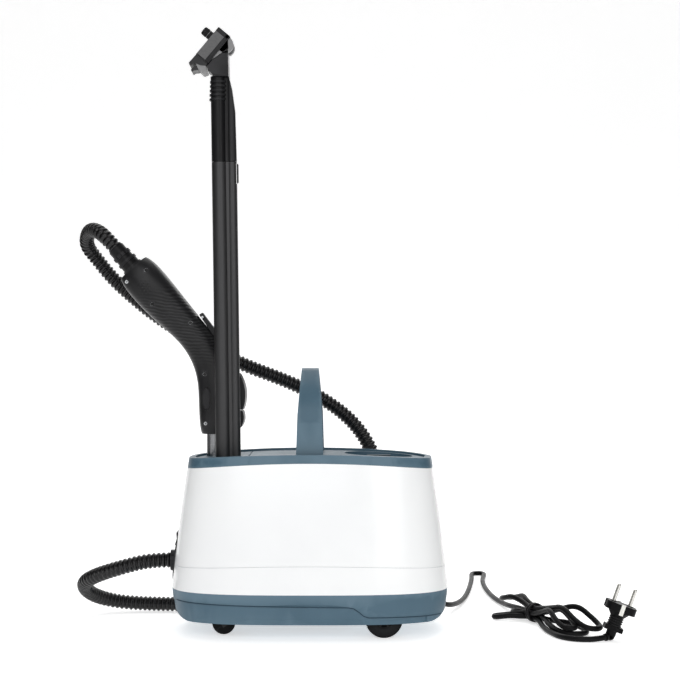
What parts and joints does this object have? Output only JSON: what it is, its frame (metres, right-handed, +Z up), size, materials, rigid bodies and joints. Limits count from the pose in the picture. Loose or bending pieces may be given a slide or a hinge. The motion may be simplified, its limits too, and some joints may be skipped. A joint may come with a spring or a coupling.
{
  "type": "garment steamer",
  "caption": "Upright garment steamer: rolling oval base with lift-out tank and carrying arch, telescopic mast with tilting hanger head, steam handset on a post, corrugated hose, corded plug",
  "frame": {"origin": "on the floor, under the middle of the base's oval plan", "axes": "+X along the base towards the cord's end, +Y to the back, +Z up"},
  "size_m": [0.6503, 0.4969, 0.6985],
  "materials": {
    "blue_plastic": "satin moulded",
    "white_gloss": "gloss moulded",
    "inner_plastic": "plain moulded",
    "tank_plastic": "smoky translucent",
    "dark_plastic": "satin moulded",
    "black_plastic": "satin moulded",
    "dark_grey_plastic": "fine grain",
    "mid_grey_plastic": "fine grain",
    "wheel_grey": "moulded rubber",
    "cast_aluminium": "as cast",
    "bright_steel": "bright",
    "board_green": "laminate",
    "black_metal": "satin black coat",
    "silver_tube": "brushed",
    "hose_black": "corrugated sleeve",
    "cord_black": "smooth sheath",
    "nickel_pins": "nickel plated"
  },
  "bodies": {
    "base": {"base_pan": "blue_plastic", "chassis_plate": "inner_plastic", "lower_band": "white_gloss", "body_shell": "white_gloss", "top_rim": "blue_plastic", "top_deck": "blue_plastic", "boiler_lower": "cast_aluminium", "boiler_cover": "cast_aluminium", "heating_element": "bright_steel", "thermostat": "bright_steel", "pump": "dark_plastic", "steam_pipe": "bright_steel", "control_board": "board_green", "hose_panel": "black_plastic", "hose_outlet": "black_plastic", "rear_axle": "bright_steel", "mast_socket": "inner_plastic", "mast_outer_tube": "black_metal", "handset_post": "silver_tube", "steam_hose_lower": "hose_black", "cord_gland": "cord_black", "mains_cord": "cord_black", "cord_hank": "cord_black", "cord_tie": "cord_black", "cord_tail": "cord_black", "plug_body": "cord_black", "plug_pins": "nickel_pins", "plug_earth_clips": "nickel_pins"},
    "tank": {"water_tank": "tank_plastic", "tank_lid": "blue_plastic", "tank_handle": "blue_plastic"},
    "tank_cap": {"tank_cap": "dark_plastic"},
    "tank_valve": {"tank_valve": "dark_plastic"},
    "power_switch": {"power_switch": "black_plastic"},
    "wheel_front": {"wheel_front": "wheel_grey"},
    "wheel_back": {"wheel_back": "wheel_grey"},
    "caster_front": {"caster_fork_front": "black_plastic"},
    "caster_back": {"caster_fork_back": "black_plastic"},
    "roller_front": {"caster_wheel_front": "wheel_grey"},
    "roller_back": {"caster_wheel_back": "wheel_grey"},
    "mast_upper": {"mast_inner_tube": "black_metal", "mast_neck": "black_plastic"},
    "mast_latch": {"mast_latch": "black_plastic"},
    "head": {"head_block": "dark_grey_plastic", "head_hinge": "mid_grey_plastic", "head_jaws": "black_plastic"},
    "head_knob": {"head_knob": "black_plastic"},
    "handset": {"handset_shell_front": "black_plastic", "handset_shell_back": "black_plastic", "handset_socket": "black_plastic", "trigger_pin": "bright_steel", "steam_plate": "black_plastic", "brush_frame": "black_plastic", "handset_steam_tube": "bright_steel", "handset_screws": "bright_steel", "steam_hose_upper": "hose_black"},
    "hose_collar": {"hose_collar": "black_plastic"},
    "trigger": {"handset_trigger": "black_plastic"},
    "button_front": {"release_button_front": "black_plastic"},
    "button_back": {"release_button_back": "black_plastic"}
  },
  "joints": [
    {"name": "tank_lift", "type": "slide", "parent": "base", "child": "tank", "axis": [0, 0, 1], "range_m": [0, 0.11]},
    {"name": "cap_turn", "type": "hinge", "parent": "tank", "child": "tank_cap", "pos_m": [0.08, 0.014, 0.195], "axis": [0, 0, 1], "range_deg": [0, 90]},
    {"name": "valve_press", "type": "slide", "parent": "tank", "child": "tank_valve", "axis": [0, 0, 1], "range_m": [0, 0.003], "stiffness_N_per_m": 150},
    {"name": "switch_rock", "type": "hinge", "parent": "base", "child": "power_switch", "pos_m": [-0.15321, 0, 0.10437], "axis": [0, 1, 0], "range_deg": [-7, 7], "stiffness_Nm_per_rad": 0.05},
    {"name": "wheel_front_spin", "type": "hinge", "parent": "base", "child": "wheel_front", "pos_m": [0.084, -0.06175, 0.021], "axis": [0, 1, 0], "continuous": true},
    {"name": "wheel_back_spin", "type": "hinge", "parent": "base", "child": "wheel_back", "pos_m": [0.084, 0.06175, 0.021], "axis": [0, 1, 0], "continuous": true},
    {"name": "caster_front_swivel", "type": "hinge", "parent": "base", "child": "caster_front", "pos_m": [-0.092, -0.042, 0.03], "axis": [0, 0, 1], "continuous": true},
    {"name": "caster_back_swivel", "type": "hinge", "parent": "base", "child": "caster_back", "pos_m": [-0.092, 0.042, 0.03], "axis": [0, 0, 1], "continuous": true},
    {"name": "roller_front_spin", "type": "hinge", "parent": "caster_front", "child": "roller_front", "pos_m": [-0.098, -0.042, 0.0132], "axis": [0, 1, 0], "continuous": true},
    {"name": "roller_back_spin", "type": "hinge", "parent": "caster_back", "child": "roller_back", "pos_m": [-0.098, 0.042, 0.0132], "axis": [0, 1, 0], "continuous": true},
    {"name": "mast_extend", "type": "slide", "parent": "base", "child": "mast_upper", "axis": [-0.0138, 0, 0.9999], "range_m": [0, 0.25]},
    {"name": "latch_press", "type": "slide", "parent": "base", "child": "mast_latch", "axis": [-0.9999, 0, -0.0138], "range_m": [0, 0.001], "stiffness_N_per_m": 600},
    {"name": "head_tilt", "type": "hinge", "parent": "mast_upper", "child": "head", "pos_m": [-0.09776, -0.013, 0.67601], "axis": [0, 1, 0], "range_deg": [0, 45]},
    {"name": "knob_turn", "type": "hinge", "parent": "head", "child": "head_knob", "pos_m": [-0.09905, -0.013, 0.67447], "axis": [-0.7671, 0, 0.6416], "range_deg": [0, 180]},
    {"name": "handset_lift", "type": "slide", "parent": "base", "child": "handset", "axis": [0, 0, 1], "range_m": [0, 0.06], "deforming": ["steam_hose_upper"]},
    {"name": "collar_spin", "type": "hinge", "parent": "handset", "child": "hose_collar", "pos_m": [-0.2096, 0.022, 0.4206], "axis": [-0.6691, 0, 0.7431], "continuous": true},
    {"name": "trigger_pull", "type": "hinge", "parent": "handset", "child": "trigger", "pos_m": [-0.1276, 0.022, 0.3626], "axis": [0, 1, 0], "range_deg": [0, 4], "stiffness_Nm_per_rad": 1.5, "springref_deg": -2.86},
    {"name": "button_front_press", "type": "slide", "parent": "handset", "child": "button_front", "axis": [0, 1, 0], "range_m": [0, 0.002], "stiffness_N_per_m": 500},
    {"name": "button_back_press", "type": "slide", "parent": "handset", "child": "button_back", "axis": [0, -1, 0], "range_m": [0, 0.002], "stiffness_N_per_m": 500}
  ]
}
